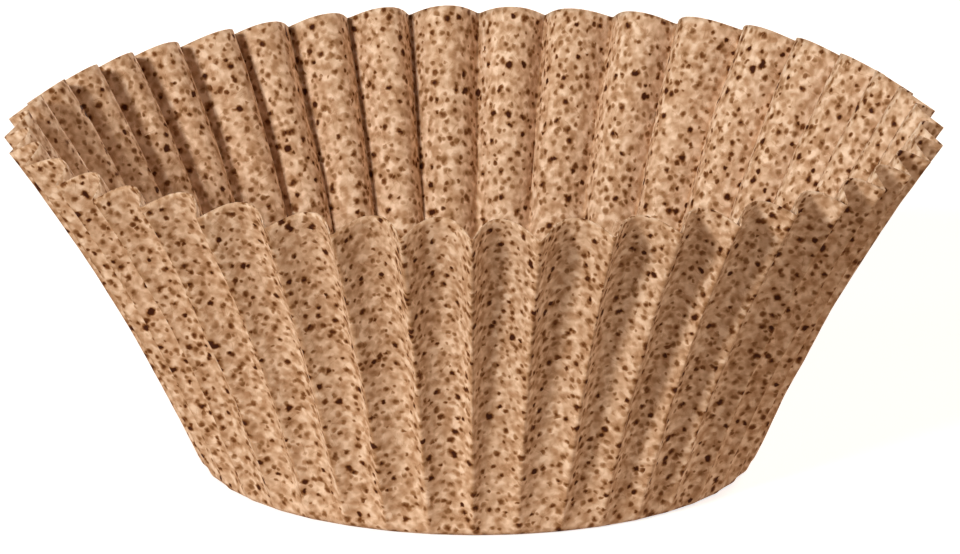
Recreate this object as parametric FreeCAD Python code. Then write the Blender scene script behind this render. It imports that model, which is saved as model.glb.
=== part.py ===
"""Paper baking cup: a round sheet of paper pressed to a flat base and a fluted wall that flares to the rim.

The cup stands on z = 0, with the middle of its base at the origin and its open mouth towards +Z.
Lengths are in millimetres and angles in degrees. Directions run anticlockwise from +X.

Drawn in to make the wall, each ring of the flat sheet is too long for it. Nearly all of that spare length
goes into the flutes, which start at the base and deepen towards the rim. As in any cup of thin paper, the
mouth is a little oval, the wall leans out more on one side, and the creases are not quite evenly spaced.
"""
import FreeCAD, Part
import math
import os

# Driving sizes
PAPER_THICKNESS = 0.1
BASE_DIAMETER = 50.8      # across the bottom, where the wall leaves the rounded corner
CORNER_RADIUS = 1.0       # of the bend from the base into the wall, at the middle of the paper
WALL_LENGTH = 34.6        # up the slope, from the corner to the rim
WALL_FLARE = 25.7         # lean of that slope from upright
WALL_BOW = 1.0            # how far the wall curves in from a straight slope, at half its length
FLUTE_COUNT = 42
FLUTE_FULLNESS = 0.78     # flute depth as a share of the depth that straight, sharply folded sides take

# How far the cup is from round and even
OVAL_FLARE = 2.5          # added to the flare at the two ends of the mouth's long axis, and taken off between
OVAL_DIRECTION = -7       # of that long axis
TIP_FLARE = 0.65          # added on one side and taken off on the other
TIP_DIRECTION = 188
RIM_RISE = 0.34           # added to the wall's length at two opposite places, and taken off between
RIM_RISE_DIRECTION = 15
FIRST_CREASE_DIRECTION = -91.8
CREASE_DRIFT = ((0.65, 219), (2.2, 225), (0.7, 271))      # size and phase of one, two and three waves round

# How many flat facets stand for each curve
FACET_COUNT = 6           # across one flute
CORNER_BAND_COUNT = 2     # along the paper, round the corner
WALL_BAND_COUNT = 5       # and up the wall
FACET_CROWDING = 1.25     # above 1, the facets narrow towards the round inward fold

# The paper's levels: 0 at the flat base's edge, 1 where the wall leaves the corner and 2 at the rim
CORNER_TOP = 1
RIM = 2
STEP = 0.001              # a small step in level or across a flute, for slopes

FOOT_BEND = math.atan(4 * WALL_BOW / WALL_LENGTH)
HALF_PITCH = math.pi / FLUTE_COUNT


def wave(angle, size, direction, waves):
    """A value that swings between size and its opposite, with that many waves round the cup."""
    return size * math.cos(waves * angle - math.radians(direction))


def wall_flare(angle):
    """The wall's lean from upright in that direction, in radians."""
    oval = wave(angle, OVAL_FLARE, 2 * OVAL_DIRECTION, 2)
    tip = wave(angle, TIP_FLARE, TIP_DIRECTION, 1)
    return math.radians(WALL_FLARE + oval + tip)


def crease_angle(number):
    """The direction of an outward crease, in radians."""
    even = math.radians(FIRST_CREASE_DIRECTION) + 2 * HALF_PITCH * number
    drift = sum(wave(even, size, phase, waves) for waves, (size, phase) in enumerate(CREASE_DRIFT, 1))
    return even + math.radians(drift)


def middle_line(level, angle):
    """Radius and height of the unfluted wall, its lean, and the same place's radius on the flat sheet.

    The lean is how far the flutes' outward direction dips below level."""
    flare = wall_flare(angle)
    foot_flare = flare - FOOT_BEND
    turned = min(level, CORNER_TOP) * (math.pi / 2 - foot_flare)
    flat_radius = BASE_DIAMETER / 2 - CORNER_RADIUS * math.cos(foot_flare)
    share = max(level - CORNER_TOP, 0)
    length = share * (WALL_LENGTH + wave(angle, RIM_RISE, 2 * RIM_RISE_DIRECTION, 2))
    bow = 4 * WALL_BOW * share * (1 - share)
    radius = flat_radius + CORNER_RADIUS * math.sin(turned)
    radius += length * math.sin(flare) - bow * math.cos(flare)
    height = CORNER_RADIUS * (1 - math.cos(turned))
    height += length * math.cos(flare) + bow * math.sin(flare)
    lean = foot_flare * level
    if level > CORNER_TOP:
        lean = flare - math.atan(4 * WALL_BOW * (1 - 2 * share) / WALL_LENGTH)
    return radius, height, lean, flat_radius + CORNER_RADIUS * turned + length


def paper_point(place, level):
    """A point on the middle of the paper.

    The place counts the outward creases round the cup. At its halves are the round inward folds."""
    crease = math.floor(place)
    across = place - crease
    angle = crease_angle(crease) * (1 - across) + crease_angle(crease + 1) * across
    radius, height, lean, sheet_radius = middle_line(level, angle)
    # the flutes deepen with the spare length of the ring of paper
    depth = FLUTE_FULLNESS * HALF_PITCH * math.sqrt(max(sheet_radius ** 2 - radius ** 2, 0))
    outward = depth * (0.5 - 4 * across * (1 - across))
    radius += outward * math.cos(lean)
    height += PAPER_THICKNESS / 2 - outward * math.sin(lean)
    return FreeCAD.Vector(radius * math.cos(angle), radius * math.sin(angle), height)


def unit_normal(place, next_place, level):
    """The paper's direction outwards and down, between two places close together."""
    around = paper_point(next_place, level) - paper_point(place, level)
    along = paper_point(place, level + STEP) - paper_point(place, level - STEP)
    return around.cross(along).normalize()


def face_point(place, level, side):
    """A point on the paper's outer face (side 1) or inner face (side -1), half a thickness off its middle."""
    if level == 0:
        offset = FreeCAD.Vector(0, 0, -PAPER_THICKNESS / 2)
    else:
        # at a crease, the point is half a thickness off the paper on both sides of it
        before = unit_normal(place - STEP, place, level)
        after = unit_normal(place, place + STEP, level)
        offset = (before + after) * (PAPER_THICKNESS / 2 / (1 + before.dot(after)))
    return paper_point(place, level) + offset * side


def places_round():
    """Where the facets meet round the cup, flute by flute."""
    across = []
    for i in range(FACET_COUNT):
        from_fold = 2 * i / FACET_COUNT - 1
        across.append(0.5 + math.copysign(abs(from_fold) ** FACET_CROWDING, from_fold) / 2)
    return [flute + place for flute in range(FLUTE_COUNT) for place in across]


def levels():
    """Where the bands of facets meet, from the flat base's edge to the rim."""
    corner = [i / CORNER_BAND_COUNT for i in range(CORNER_BAND_COUNT)]
    return corner + [CORNER_TOP + i / WALL_BAND_COUNT for i in range(WALL_BAND_COUNT + 1)]


def neighbours(values):
    return list(zip(values, values[1:]))


def triangles(first_pair, second_pair, mirrored):
    """Two flat triangles that join two edges, given as pairs of points, with their diagonal either way."""
    a, b = first_pair
    c, d = second_pair
    corners = [(a, b, c), (b, d, c)] if mirrored else [(a, b, d), (a, d, c)]
    return [Part.Face(Part.makePolygon([p, q, r, p])) for p, q, r in corners]


def mirrored_at(column):
    """Whether a facet past the inward fold, whose diagonal mirrors that of the facet before the fold."""
    return column % FACET_COUNT >= FACET_COUNT / 2


def wall_faces(columns):
    """The facets of one face of the paper, from columns of points that run up from the base to the rim."""
    facets = []
    for i, (left, right) in enumerate(neighbours(columns)):
        for left_edge, right_edge in zip(neighbours(left), neighbours(right)):
            facets += triangles(left_edge, right_edge, mirrored_at(i))
    return facets


def rim_faces(outer_columns, inner_columns):
    """The cut edge at the rim, from the outer face to the inner face."""
    facets = []
    rims = [(outer[-1], inner[-1]) for outer, inner in zip(outer_columns, inner_columns)]
    for i, ((outer, inner), (next_outer, next_inner)) in enumerate(neighbours(rims)):
        facets += triangles((outer, next_outer), (inner, next_inner), mirrored_at(i))
    return facets


def columns_of(side):
    """The points of one face of the paper, in columns from the base to the rim, all the way round."""
    columns = [[face_point(place, level, side) for level in levels()] for place in places_round()]
    return columns + columns[:1]


def baking_cup():
    """The whole cup as one closed solid of paper."""
    outer, inner = columns_of(1), columns_of(-1)
    faces = wall_faces(outer) + wall_faces(inner) + rim_faces(outer, inner)
    faces += [Part.Face(Part.makePolygon([column[0] for column in columns])) for columns in (outer, inner)]
    shell = Part.makeShell(faces)
    shell.sewShape()
    cup = Part.Solid(shell)
    if cup.Volume < 0:
        cup.reverse()
    return cup


os.makedirs("parts", exist_ok=True)
baking_cup().exportStep("parts/baking_cup.step")
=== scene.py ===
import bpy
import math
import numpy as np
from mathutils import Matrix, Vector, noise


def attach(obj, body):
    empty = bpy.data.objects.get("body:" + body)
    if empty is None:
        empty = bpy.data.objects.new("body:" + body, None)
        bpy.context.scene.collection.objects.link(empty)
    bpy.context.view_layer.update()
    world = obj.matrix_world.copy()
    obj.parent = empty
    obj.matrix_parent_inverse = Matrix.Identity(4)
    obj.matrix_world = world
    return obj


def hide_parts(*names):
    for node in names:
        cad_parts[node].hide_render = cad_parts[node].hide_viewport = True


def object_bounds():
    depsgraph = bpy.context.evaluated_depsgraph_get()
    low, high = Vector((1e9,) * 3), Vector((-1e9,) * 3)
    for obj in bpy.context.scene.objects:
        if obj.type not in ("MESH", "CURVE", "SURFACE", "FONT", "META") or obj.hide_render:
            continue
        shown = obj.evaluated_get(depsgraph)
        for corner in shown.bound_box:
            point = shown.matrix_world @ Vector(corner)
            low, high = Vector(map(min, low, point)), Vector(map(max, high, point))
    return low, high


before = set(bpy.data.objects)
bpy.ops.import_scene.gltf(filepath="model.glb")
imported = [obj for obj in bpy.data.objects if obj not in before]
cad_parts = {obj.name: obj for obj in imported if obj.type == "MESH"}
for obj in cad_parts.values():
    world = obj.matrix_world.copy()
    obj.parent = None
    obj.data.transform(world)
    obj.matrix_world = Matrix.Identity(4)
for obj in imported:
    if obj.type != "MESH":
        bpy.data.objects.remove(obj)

# A paper baking cup: one round sheet of unbleached paper with dark flecks, pressed to a flat base and a
# fluted wall. It stands on a table that looks white, in soft light that comes mostly from the front left.
#
# The paper is one closed mesh with two faces, which replaces the faceted solid. Its form is worked out in
# millimetres from the solid's own sizes, and each flute then differs a little from the next, as in a real
# cup. Angles run anticlockwise from +X, so that -90 degrees is the front.

cad_low, cad_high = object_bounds()
HEIGHT = cad_high.z
MM = 0.001

# The solid's driving sizes, in millimetres
PAPER_THICKNESS = 0.1
BASE_DIAMETER = 50.8
CORNER_RADIUS = 1.0
WALL_LENGTH = 34.6
WALL_BOW = 1.0
FLUTE_COUNT = 42

# How far the solid is from round and even: degrees of flare, millimetres of rim, and the creases' drift
WALL_FLARE = 25.7
OVAL_FLARE = 2.5           # added to the flare at both ends of the mouth's long axis, and taken off between
OVAL_DIRECTION = -7
TIP_FLARE = 0.65           # added on one side and taken off on the other
TIP_DIRECTION = 188
RIM_RISE = 0.34
RIM_RISE_DIRECTION = 15
FIRST_CREASE_DIRECTION = -91.8
CREASE_DRIFT = ((0.65, 219), (2.2, 225), (0.7, 271))      # size and phase of one, two and three waves round

# The flutes are a little deeper and sharper than the solid's, whose fullness is 0.78 and sharpness 2
FLUTE_FULLNESS = 0.9       # flute depth as a share of the depth that straight, sharply folded sides take
FOOT_FULLNESS = 0.2        # added to it at the foot of the wall, where the folds are sharpest
FLUTE_SHARPNESS = 2.3      # the power by which a flute's section rises from its round fold to its crease

# How much one flute differs from the next
SPACING_SPREAD = 0.16      # of a crease's place, in millimetres at the rim
BEND_SPREAD = 0.14         # of a crease's bend sideways at half its height, in millimetres
DEPTH_SPREAD = 0.09        # of the depth, as a share
SKEW_SPREAD = 0.09         # of the inward fold's place between its creases, as a share of half a flute
RIM_SPREAD = 0.13          # of the rim's height, in millimetres
CREASE_ROUNDING = 0.055    # width of the bend at a crease, as a share of half a flute
CREASE_WIDTH = 0.1         # from a crease to where its painted shade and crushing end, as a share of half a flute
CREASE_RISE = 4            # the painted crease shade and crushing are full at one part in this many of the wall's length

# The paper's colours, from bark to the palest pulp, and the tone at which each one lies
PAPER_COLOURS = (
    (0.00, (0.045, 0.009, 0.001)),
    (0.23, (0.145, 0.045, 0.009)),
    (0.46, (0.295, 0.142, 0.056)),
    (0.68, (0.505, 0.289, 0.154)),
    (0.88, (0.725, 0.493, 0.318)),
    (1.00, (0.865, 0.633, 0.440)),
)
PAPER_TONE = 0.79

# The paper's grain, in millimetres on the flat sheet
CLOUD_SIZE = 7.0           # of the broad patches of paler and darker paper
LUMP_SIZE = 0.9            # of the lumps of pulp
FIBRE_WIDTH = 0.13
FIBRE_LENGTH = 2.4
SHAKE_SIZE = 0.5           # of the noise that shakes the grain out of line
SHAKE_REACH = 0.4          # and how far it shakes it
BUMP_HEIGHT = 0.03 * MM
FIBRE_HEIGHT = 0.6         # of a light fibre, as a share of the bump's height
SPECULAR = 0.12
DARK_ROUGHNESS, PALE_ROUGHNESS = 0.82, 0.68

# The fibres: the direction of each kind on the sheet, in degrees, and its seed
LIGHT_FIBRES = ((20, 3.0), (95, 11.0), (150, 7.0))
DARK_FIBRES = ((60, 19.0), (125, 23.0))
LIGHT_FIBRE_START = 0.6    # the value of the noise at which a fibre starts to show
DARK_FIBRE_START = 0.64
FIBRE_EDGE = 0.12          # and how far above it the fibre is in full

# The flecks, from pale pulp to the largest bark: a shift on the sheet, the size of a cell, the smallest and
# largest radius, all in millimetres, the share of cells that hold one, and how much lighter it makes the tone
FLECKS = (
    ((0, 0), 1.1, 0.22, 0.46, 0.8, 0.15),
    ((31, 17), 0.92, 0.22, 0.44, 1.0, -0.46),
    ((83, 41), 1.3, 0.26, 0.48, 1.0, -0.62),
    ((57, 5), 2.3, 0.3, 0.5, 0.8, -0.9),
)
FLECK_CORE = 0.25          # the share of a fleck's radius over which it is in full

# How far the paper cockles out of its form, broadly and finely: size of the lumps, and reach, in millimetres
BROAD_COCKLE, BROAD_REACH = 7, 0.16
FINE_COCKLE, FINE_REACH = 2.1, 0.035
COCKLE_RISE = 6            # they are full at one part in this many of the way from the base's edge to the rim

# The lights: name, strength, colour, width, and the azimuth and elevation that they come from, in degrees.
# A strength of 1 makes a white surface that faces the light white. Azimuth runs clockwise from the front.
WHITE = (1, 1, 1)
WARM = (1, 0.82, 0.69)
SUNS = (
    ("key", 0.85, WHITE, 12, (36, 25)),
    ("side", 0.13, WHITE, 12, (70, 12)),
    ("fill", 0.35, WARM, 60, (-80, 36)),
    ("back", 0.4, WHITE, 15, (-150, 25)),
)
AMBIENT = 0.07

FLOOR_GAP = 0.02 * MM      # the table is this far below the cup, so that the two faces don't meet
FLOOR_REACH = 60           # times the cup's height
FLOOR_COLOUR = (0.68, 0.6, 0.53)    # the colour of the light that it throws back on the cup
FLOOR_GLOW = 0.75          # what the camera sees on top of that, so that the floor meets the white background

# The camera, in metres: it looks down a little at the middle of the cup, through a long lens
CAMERA_TARGET = (0.3 * MM, 0, 16.94 * MM)
CAMERA_ELEVATION = 16.0
CAMERA_DISTANCE = 0.7969
LENS = 326.7               # for a sensor 36 wide
SENSOR_WIDTH = 36

# The mesh: places across half a flute, from crease to fold, and numbers of rows
HALF_FLUTE = (0, 0.045, 0.1, 0.19, 0.33, 0.53, 0.76)
BASE_ROWS = (0.05, 0.2, 0.4, 0.58, 0.73, 0.84, 0.91, 0.96)
CORNER_ROWS = 6
WALL_ROWS = 52
COLUMNS = 2 * len(HALF_FLUTE) * FLUTE_COUNT
LAYOUT_MARGIN = 1.02       # the width of the texture layout, as a multiple of the flat sheet's

chance = np.random.default_rng(42)
scene = bpy.context.scene


# ---------------------------------------------------------------- the form of the paper

def spread(amount):
    """One random value for each flute, within twice the given spread."""
    return amount * np.clip(chance.standard_normal(FLUTE_COUNT), -2, 2)


def wave(angle, size, direction, waves):
    """A value that swings between size and its opposite, with that many waves round the cup."""
    return size * np.cos(waves * angle - math.radians(direction))


def wall_flare(angle):
    """The wall's lean from upright in that direction, in radians."""
    oval = wave(angle, OVAL_FLARE, 2 * OVAL_DIRECTION, 2)
    tip = wave(angle, TIP_FLARE, TIP_DIRECTION, 1)
    return np.radians(WALL_FLARE + oval + tip)


def middle_line(corner_share, wall_share, angle):
    """Radius, height, lean and sheet radius of the unfluted wall, at shares of the corner and of the wall."""
    flare = wall_flare(angle)
    foot_flare = flare - math.atan(4 * WALL_BOW / WALL_LENGTH)
    flat_radius = BASE_DIAMETER / 2 - CORNER_RADIUS * np.cos(foot_flare)
    turned = corner_share * (math.pi / 2 - foot_flare)
    length = (WALL_LENGTH + wave(angle, RIM_RISE, 2 * RIM_RISE_DIRECTION, 2)) * wall_share
    bow = 4 * WALL_BOW * wall_share * (1 - wall_share)
    radius = flat_radius + CORNER_RADIUS * np.sin(turned) + length * np.sin(flare) - bow * np.cos(flare)
    height = CORNER_RADIUS * (1 - np.cos(turned)) + length * np.cos(flare) + bow * np.sin(flare)
    wall_lean = flare - np.arctan(4 * WALL_BOW * (1 - 2 * wall_share) / WALL_LENGTH)
    lean = np.where(wall_share > 0, wall_lean, foot_flare * corner_share)
    return radius, height, lean, flat_radius + CORNER_RADIUS * turned + length


def crease_angles():
    """The angle of each outward crease."""
    even = math.radians(FIRST_CREASE_DIRECTION) + 2 * math.pi * np.arange(FLUTE_COUNT) / FLUTE_COUNT
    drift = sum(wave(even, size, phase, waves) for waves, (size, phase) in enumerate(CREASE_DRIFT, 1))
    return even + np.radians(drift)


def rows():
    """Shares of the corner and of the wall at each row of the wall's mesh, as two columns."""
    corner = [(i / CORNER_ROWS, 0) for i in range(CORNER_ROWS)]
    wall = [(1, i / WALL_ROWS) for i in range(WALL_ROWS + 1)]
    return np.array(corner + wall).T[:, :, None]


def across_flute():
    """Places across one flute, from -1 at its first crease to just before 1, and its section there.

    The section runs from 1 at a crease to 0 at the round inward fold."""
    half = np.array(HALF_FLUTE)
    places = np.concatenate([half - 1, [0], 1 - half[:0:-1]])
    from_crease = np.sqrt((1 - np.abs(places)) ** 2 + CREASE_ROUNDING ** 2)
    return places, (1 - np.minimum(from_crease, 1)) ** FLUTE_SHARPNESS


def wall_middle():
    """Points of the middle of the paper over the wall, as rows by columns, with their radius on the sheet."""
    corner_share, wall_share = rows()
    places, section = across_flute()
    radius_guess = BASE_DIAMETER / 2 + WALL_LENGTH * math.sin(math.radians(WALL_FLARE)) * wall_share

    def each_crease(values):
        """A value for each crease, and for the crease after it."""
        return values[:, None], np.roll(values, -1)[:, None]

    creases = crease_angles()
    spacing, bend = spread(SPACING_SPREAD), spread(BEND_SPREAD)
    ends = []
    up = wall_share[..., None]
    for angles, sideways, bent in zip(
        (creases, np.append(creases[1:], creases[0] + 2 * math.pi)),
        (spacing, np.roll(spacing, -1)),
        (bend, np.roll(bend, -1)),
    ):
        moved = sideways[:, None] * up ** 0.5 + bent[:, None] * np.sin(math.pi * up)
        ends.append(angles[:, None] + moved / radius_guess[..., None])
    skew = spread(SKEW_SPREAD)[:, None] * (1 - places ** 2)
    share = (places + 1 + skew) / 2
    angle = ends[0] * (1 - share) + ends[1] * share

    at_crease, at_next = each_crease(1 + spread(DEPTH_SPREAD / 2))
    at_fold = (1 + spread(DEPTH_SPREAD))[:, None]
    out = at_crease * (1 - share) + at_next * share
    outward = -at_fold + (out + at_fold) * section

    rim, next_rim = each_crease(spread(RIM_SPREAD))
    rise = (rim * (1 - share) + next_rim * share).reshape(1, -1)
    angle = angle.reshape(len(wall_share), -1)
    outward = outward.reshape(1, -1)
    radius, height, lean, sheet_radius = middle_line(corner_share, wall_share, angle)
    fullness = FLUTE_FULLNESS + FOOT_FULLNESS * (1 - wall_share) ** 3
    depth = fullness * math.pi / FLUTE_COUNT * np.sqrt(np.maximum(sheet_radius ** 2 - radius ** 2, 0))
    outward = outward * depth / 2
    radius = radius + outward * np.cos(lean) + rise * wall_share * np.sin(lean)
    height = height - outward * np.sin(lean) + rise * wall_share * np.cos(lean)
    return np.stack([radius * np.cos(angle), radius * np.sin(angle), height], -1), sheet_radius


def sheet_angles(wall):
    """The direction of each point of the wall on the flat sheet, by the paper's length across a flute."""
    flutes = wall.reshape(len(wall), FLUTE_COUNT, -1, 3)
    following = np.roll(wall, -1, axis=1).reshape(flutes.shape)
    length = np.linalg.norm(following - flutes, axis=-1)
    total = np.cumsum(length, axis=-1)
    share = (total - length) / total[..., -1:]
    creases = crease_angles()
    width = np.diff(creases, append=creases[0] + 2 * math.pi)
    return (creases[:, None] + share * width[:, None]).reshape(len(wall), -1)


def sheet_middle():
    """The middle of the paper, from near the base's centre to the rim, and its places on the flat sheet."""
    wall, radius = wall_middle()
    edge = wall[0] * (1, 1, 0)
    middle = np.concatenate([[edge * share for share in BASE_ROWS], wall])
    radius = np.concatenate([[radius[0] * share for share in BASE_ROWS], radius])
    angle = sheet_angles(wall)
    angle = np.concatenate([[angle[0]] * len(BASE_ROWS), angle])
    sheet = np.stack([radius * np.cos(angle), radius * np.sin(angle), np.zeros_like(radius)], -1)
    middle[..., 2] += PAPER_THICKNESS / 2
    return middle, sheet


def crease_shade_marks(row_count):
    """How much the paper is darkened along the outward creases at each point, from 0 to 1: partly crushed
    paper, partly painted shade.
    """
    places, _ = across_flute()
    across = np.maximum(1 - (1 - np.abs(places)) / CREASE_WIDTH, 0)
    corner_share, wall_share = rows()
    along = np.minimum(CREASE_RISE * wall_share[:, 0], 1)
    marks = along[:, None] * np.tile(across, FLUTE_COUNT)
    return np.concatenate([np.zeros((row_count - len(marks), COLUMNS)), marks])


def normals_of(grid):
    """Unit normals of a closed ring of points that run up and round, pointing down and outwards."""
    up = np.gradient(grid, axis=0)
    around = np.roll(grid, -1, axis=1) - np.roll(grid, 1, axis=1)
    normal = np.cross(around, up)
    return normal / np.linalg.norm(normal, axis=-1, keepdims=True)


def unevenness(sheet):
    """How far the paper cockles out of its form, at each point of the sheet, in millimetres."""
    points = [Vector(point) for point in sheet.reshape(-1, 3)]
    elsewhere = Vector((40, 0, 0))
    broad = np.array([noise.noise(point / BROAD_COCKLE) for point in points])
    fine = np.array([noise.noise(point / FINE_COCKLE + elsewhere) for point in points])
    return (BROAD_REACH * broad + FINE_REACH * fine).reshape(sheet.shape[:2] + (1,))


def cup_mesh():
    """The paper as one closed mesh, with the flat sheet's coordinates at each point."""
    middle, sheet = sheet_middle()
    flat = len(BASE_ROWS)
    rising = np.concatenate([np.zeros(flat), np.linspace(0, 1, len(middle) - flat)])[:, None, None]
    middle = middle + normals_of(middle) * unevenness(sheet) * np.minimum(rising * COCKLE_RISE, 1)
    normal = normals_of(middle)
    normal[:flat] = (0, 0, -1)
    half = PAPER_THICKNESS / 2
    outer, inner = middle + normal * half, middle - normal * half
    count = middle.shape[0] * COLUMNS
    centres = [(0, 0, 0), (0, 0, PAPER_THICKNESS)]
    points = np.concatenate([outer.reshape(-1, 3), inner.reshape(-1, 3), centres])
    sheet_points = np.concatenate([sheet.reshape(-1, 3)] * 2 + [np.zeros((2, 3))])

    faces = []
    columns = [(i, (i + 1) % COLUMNS) for i in range(COLUMNS)]
    for row in range(middle.shape[0] - 1):
        low, high = row * COLUMNS, (row + 1) * COLUMNS
        faces += [(low + a, low + b, high + b, high + a) for a, b in columns]
        faces += [(count + low + b, count + low + a, count + high + a, count + high + b) for a, b in columns]
    rim = (middle.shape[0] - 1) * COLUMNS
    faces += [(rim + a, rim + b, count + rim + b, count + rim + a) for a, b in columns]
    faces += [(2 * count, b, a) for a, b in columns]
    faces += [(2 * count + 1, count + a, count + b) for a, b in columns]

    mesh = bpy.data.meshes.new("baking_cup_paper")
    mesh.from_pydata((points * MM).tolist(), [], faces)
    mesh.polygons.foreach_set("use_smooth", [True] * len(mesh.polygons))
    attribute = mesh.attributes.new("sheet", "FLOAT_VECTOR", "POINT")
    attribute.data.foreach_set("vector", sheet_points.ravel())
    # the crease marks are painted shade along the outward creases, partly crushed paper
    marks = crease_shade_marks(len(middle)).ravel()
    attribute = mesh.attributes.new("crease", "FLOAT", "POINT")
    attribute.data.foreach_set("value", np.concatenate([marks, marks, np.zeros(2)]))
    # both faces share one layout, which is the flat sheet itself
    corners = np.zeros(len(mesh.loops), dtype=np.int32)
    mesh.loops.foreach_get("vertex_index", corners)
    layout = 0.5 + sheet_points[corners, :2] / (2 * LAYOUT_MARGIN * np.abs(sheet_points).max())
    mesh.uv_layers.new(name="OFBake").uv.foreach_set("vector", layout.ravel())
    return mesh


# ---------------------------------------------------------------- materials

class Shader:
    """The nodes of a material or the world. Each method adds one, and returns the socket to read it from."""

    def __init__(self, made, surface):
        made.use_nodes = True
        self.tree = made.node_tree
        self.surface = self.tree.nodes[surface]

    def node(self, kind, inputs=(), **settings):
        made = self.tree.nodes.new(kind)
        for key, value in settings.items():
            setattr(made, key, value)
        for key, value in dict(inputs).items():
            self.feed(made.inputs[key], value)
        return made

    def feed(self, socket, value):
        if isinstance(value, bpy.types.NodeSocket):
            self.tree.links.new(value, socket)
        else:
            socket.default_value = value

    def maths(self, operation, first, second=0.0):
        return self.node("ShaderNodeMath", {0: first, 1: second}, operation=operation).outputs[0]

    def vector(self, operation, first, second):
        return self.node("ShaderNodeVectorMath", {0: first, 1: second}, operation=operation).outputs[0]

    def step(self, value, start, end, low=0.0, high=1.0):
        """A smooth step from low to high, as value goes from start to end."""
        inputs = {"Value": value, "From Min": start, "From Max": end, "To Min": low, "To Max": high}
        return self.node("ShaderNodeMapRange", inputs, interpolation_type="SMOOTHSTEP").outputs["Result"]

    def noise(self, where, size, detail=2.0, roughness=0.5):
        """Soft noise from 0 to 1, with lumps of about that size."""
        inputs = {"Vector": where, "Scale": 1 / size, "Detail": detail, "Roughness": roughness}
        return self.node("ShaderNodeTexNoise", inputs).outputs["Fac"]

    def seen(self):
        """1 for what the camera sees, straight or reflected, and 0 for the light that falls on things."""
        rays = self.node("ShaderNodeLightPath").outputs
        reflected = self.maths("MAXIMUM", rays["Is Glossy Ray"], rays["Is Transmission Ray"])
        return self.maths("MAXIMUM", rays["Is Camera Ray"], reflected)

    def ramp(self, value, stops):
        """The colour at that value between the stops, each a value and its colour."""
        made = self.node("ShaderNodeValToRGB", {"Fac": value})
        elements = made.color_ramp.elements
        elements.remove(elements[1])
        for i, (place, shade) in enumerate(stops):
            stop = elements[0] if i == 0 else elements.new(place)
            stop.position = place
            stop.color = colour(*shade)
        return made.outputs["Color"]


def colour(red, green, blue):
    return (red, green, blue, 1)


def flecks(s, place, cell, smallest, largest, share):
    """A mask of soft flecks, one or none to a cell of that size, with their smallest and largest radius."""
    inputs = {"Vector": place, "Scale": 1 / cell}
    cells = s.node("ShaderNodeTexVoronoi", inputs, voronoi_dimensions="2D")
    chances = s.node("ShaderNodeSeparateColor", {"Color": cells.outputs["Color"]}).outputs
    radius = s.step(chances["Red"], 0.0, 1.0, smallest / cell, largest / cell)
    outside = s.step(cells.outputs["Distance"], s.maths("MULTIPLY", radius, FLECK_CORE), radius)
    strength = s.step(chances["Green"], 1 - share, 1.0)
    return s.maths("MULTIPLY", s.maths("SUBTRACT", 1.0, outside), strength)


def fibres(s, place, kinds, start):
    """A mask of thin, slightly curved fibres, each kind in its own direction."""
    mask = None
    for direction, seed in kinds:
        inputs = {"Vector": place, "Angle": math.radians(direction), "Center": (seed, 0, 0)}
        turned = s.node("ShaderNodeVectorRotate", inputs, rotation_type="Z_AXIS").outputs["Vector"]
        stretched = s.vector("MULTIPLY", turned, (FIBRE_WIDTH / FIBRE_LENGTH, 1, 1))
        fibre = s.step(s.noise(stretched, FIBRE_WIDTH, 1.0), start, start + FIBRE_EDGE)
        mask = fibre if mask is None else s.maths("MAXIMUM", mask, fibre)
    return mask


def paper_material():
    """Unbleached paper: lumps of pale and dark pulp, light and dark fibres, dark flecks of bark, and darker
    outward creases that are partly crushed paper and partly painted shade.
    """
    material = bpy.data.materials.new("unbleached_paper")
    s = Shader(material, "Principled BSDF")
    place = s.node("ShaderNodeAttribute", attribute_name="sheet").outputs["Vector"]
    inputs = {"Vector": place, "Scale": 1 / SHAKE_SIZE, "Detail": 1.0}
    shake = s.node("ShaderNodeTexNoise", inputs).outputs["Color"]
    shaken = s.vector("ADD", place, s.vector("MULTIPLY", shake, (SHAKE_REACH, SHAKE_REACH, 0)))

    lumps = s.noise(shaken, LUMP_SIZE, 1.0, 0.45)
    light_fibres = fibres(s, shaken, LIGHT_FIBRES, LIGHT_FIBRE_START)
    dark_fibres = fibres(s, shaken, DARK_FIBRES, DARK_FIBRE_START)
    crease = s.node("ShaderNodeAttribute", attribute_name="crease").outputs["Fac"]
    layers = [
        (s.maths("SUBTRACT", lumps, 0.5), 0.95),
        (s.maths("SUBTRACT", s.noise(place, CLOUD_SIZE, 3.0), 0.5), 0.2),
        (light_fibres, 0.05),
        (dark_fibres, -0.12),
        # painted shade along the outward creases, partly crushed paper
        (crease, -0.13),
    ]
    for shift, cell, smallest, largest, share, amount in FLECKS:
        shifted = s.vector("ADD", shaken, (*shift, 0))
        layers.append((flecks(s, shifted, cell, smallest, largest, share), amount))
    tone = PAPER_TONE
    for mask, amount in layers:
        tone = s.maths("ADD", tone, s.maths("MULTIPLY", mask, amount))
    s.feed(s.surface.inputs["Base Color"], s.ramp(tone, PAPER_COLOURS))

    s.surface.inputs["Specular IOR Level"].default_value = SPECULAR
    s.feed(s.surface.inputs["Roughness"], s.step(lumps, 0.3, 0.7, DARK_ROUGHNESS, PALE_ROUGHNESS))
    height = s.maths("ADD", lumps, s.maths("MULTIPLY", light_fibres, FIBRE_HEIGHT))
    bump = s.node("ShaderNodeBump", {"Height": height, "Strength": 0.5, "Distance": BUMP_HEIGHT})
    s.feed(s.surface.inputs["Normal"], bump.outputs["Normal"])
    return material


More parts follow.
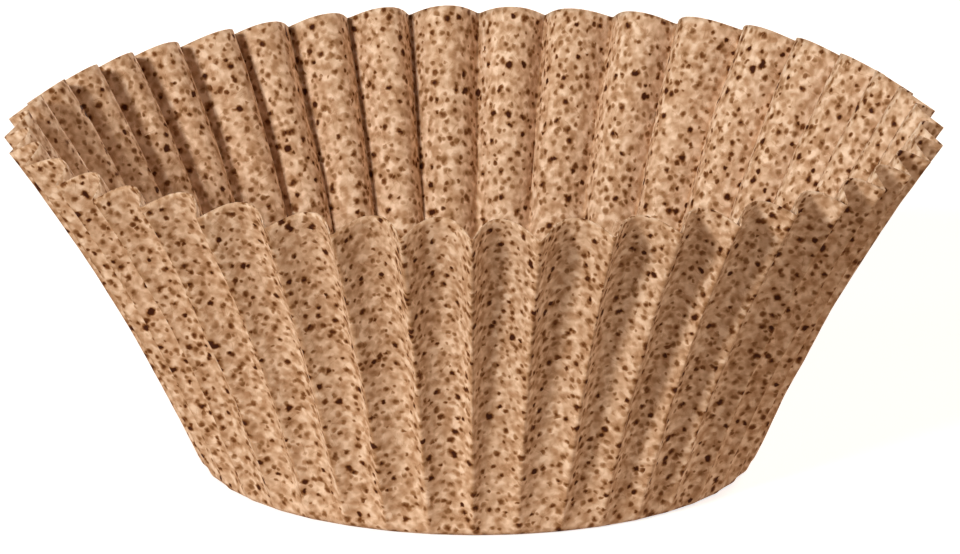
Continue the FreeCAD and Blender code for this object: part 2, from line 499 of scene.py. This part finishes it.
def floor_material():
    """A pale floor that is seen as white, so that it meets the background, and keeps the cup's shadow."""
    material = bpy.data.materials.new("white_table")
    s = Shader(material, "Principled BSDF")
    s.surface.inputs["Base Color"].default_value = colour(*FLOOR_COLOUR)
    s.surface.inputs["Roughness"].default_value = 1.0
    s.surface.inputs["Specular IOR Level"].default_value = 0.0
    s.surface.inputs["Emission Color"].default_value = colour(*WHITE)
    s.feed(s.surface.inputs["Emission Strength"], s.maths("MULTIPLY", s.seen(), FLOOR_GLOW))
    return material


# ---------------------------------------------------------------- pieces and stage

def add_object(name, data):
    made = bpy.data.objects.new(name, data)
    scene.collection.objects.link(made)
    return made


def add_cup():
    cup = add_object("baking_cup_paper", cup_mesh())
    cup.data.materials.append(paper_material())
    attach(cup, "root")
    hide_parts("baking_cup")


def add_floor():
    reach = FLOOR_REACH * HEIGHT
    mesh = bpy.data.meshes.new("table_top")
    corners = [(-reach, -reach, 0), (reach, -reach, 0), (reach, reach, 0), (-reach, reach, 0)]
    mesh.from_pydata(corners, [], [(0, 1, 2, 3)])
    floor = add_object("table_top", mesh)
    floor.location.z = -FLOOR_GAP
    floor.data.materials.append(floor_material())


def towards(azimuth, elevation):
    """The direction out to a place seen at that azimuth, clockwise from the front, and height above level."""
    a, e = math.radians(azimuth), math.radians(elevation)
    return Vector((-math.sin(a) * math.cos(e), -math.cos(a) * math.cos(e), math.sin(e)))


def add_sun(name, strength, shade, width, direction):
    sun = bpy.data.lights.new(name, "SUN")
    sun.energy = math.pi * strength
    sun.color = shade
    sun.angle = math.radians(width)
    add_object(name, sun).rotation_euler = direction.to_track_quat("Z", "Y").to_euler()


def add_lights():
    for name, strength, shade, width, place in SUNS:
        add_sun(name, strength, shade, width, towards(*place))

    scene.world = bpy.data.worlds.new("studio")
    s = Shader(scene.world, "Background")
    s.surface.inputs["Color"].default_value = colour(*WHITE)
    s.feed(s.surface.inputs["Strength"], s.maths("MAXIMUM", s.seen(), AMBIENT))


def add_camera():
    data = bpy.data.cameras.new("camera")
    data.sensor_width = SENSOR_WIDTH
    data.lens = LENS
    camera = add_object("camera", data)
    back = towards(0, CAMERA_ELEVATION)
    camera.location = Vector(CAMERA_TARGET) + back * CAMERA_DISTANCE
    camera.rotation_euler = back.to_track_quat("Z", "Y").to_euler()
    scene.camera = camera


add_cup()
add_floor()
add_lights()
add_camera()
scene.view_settings.view_transform = "Standard"
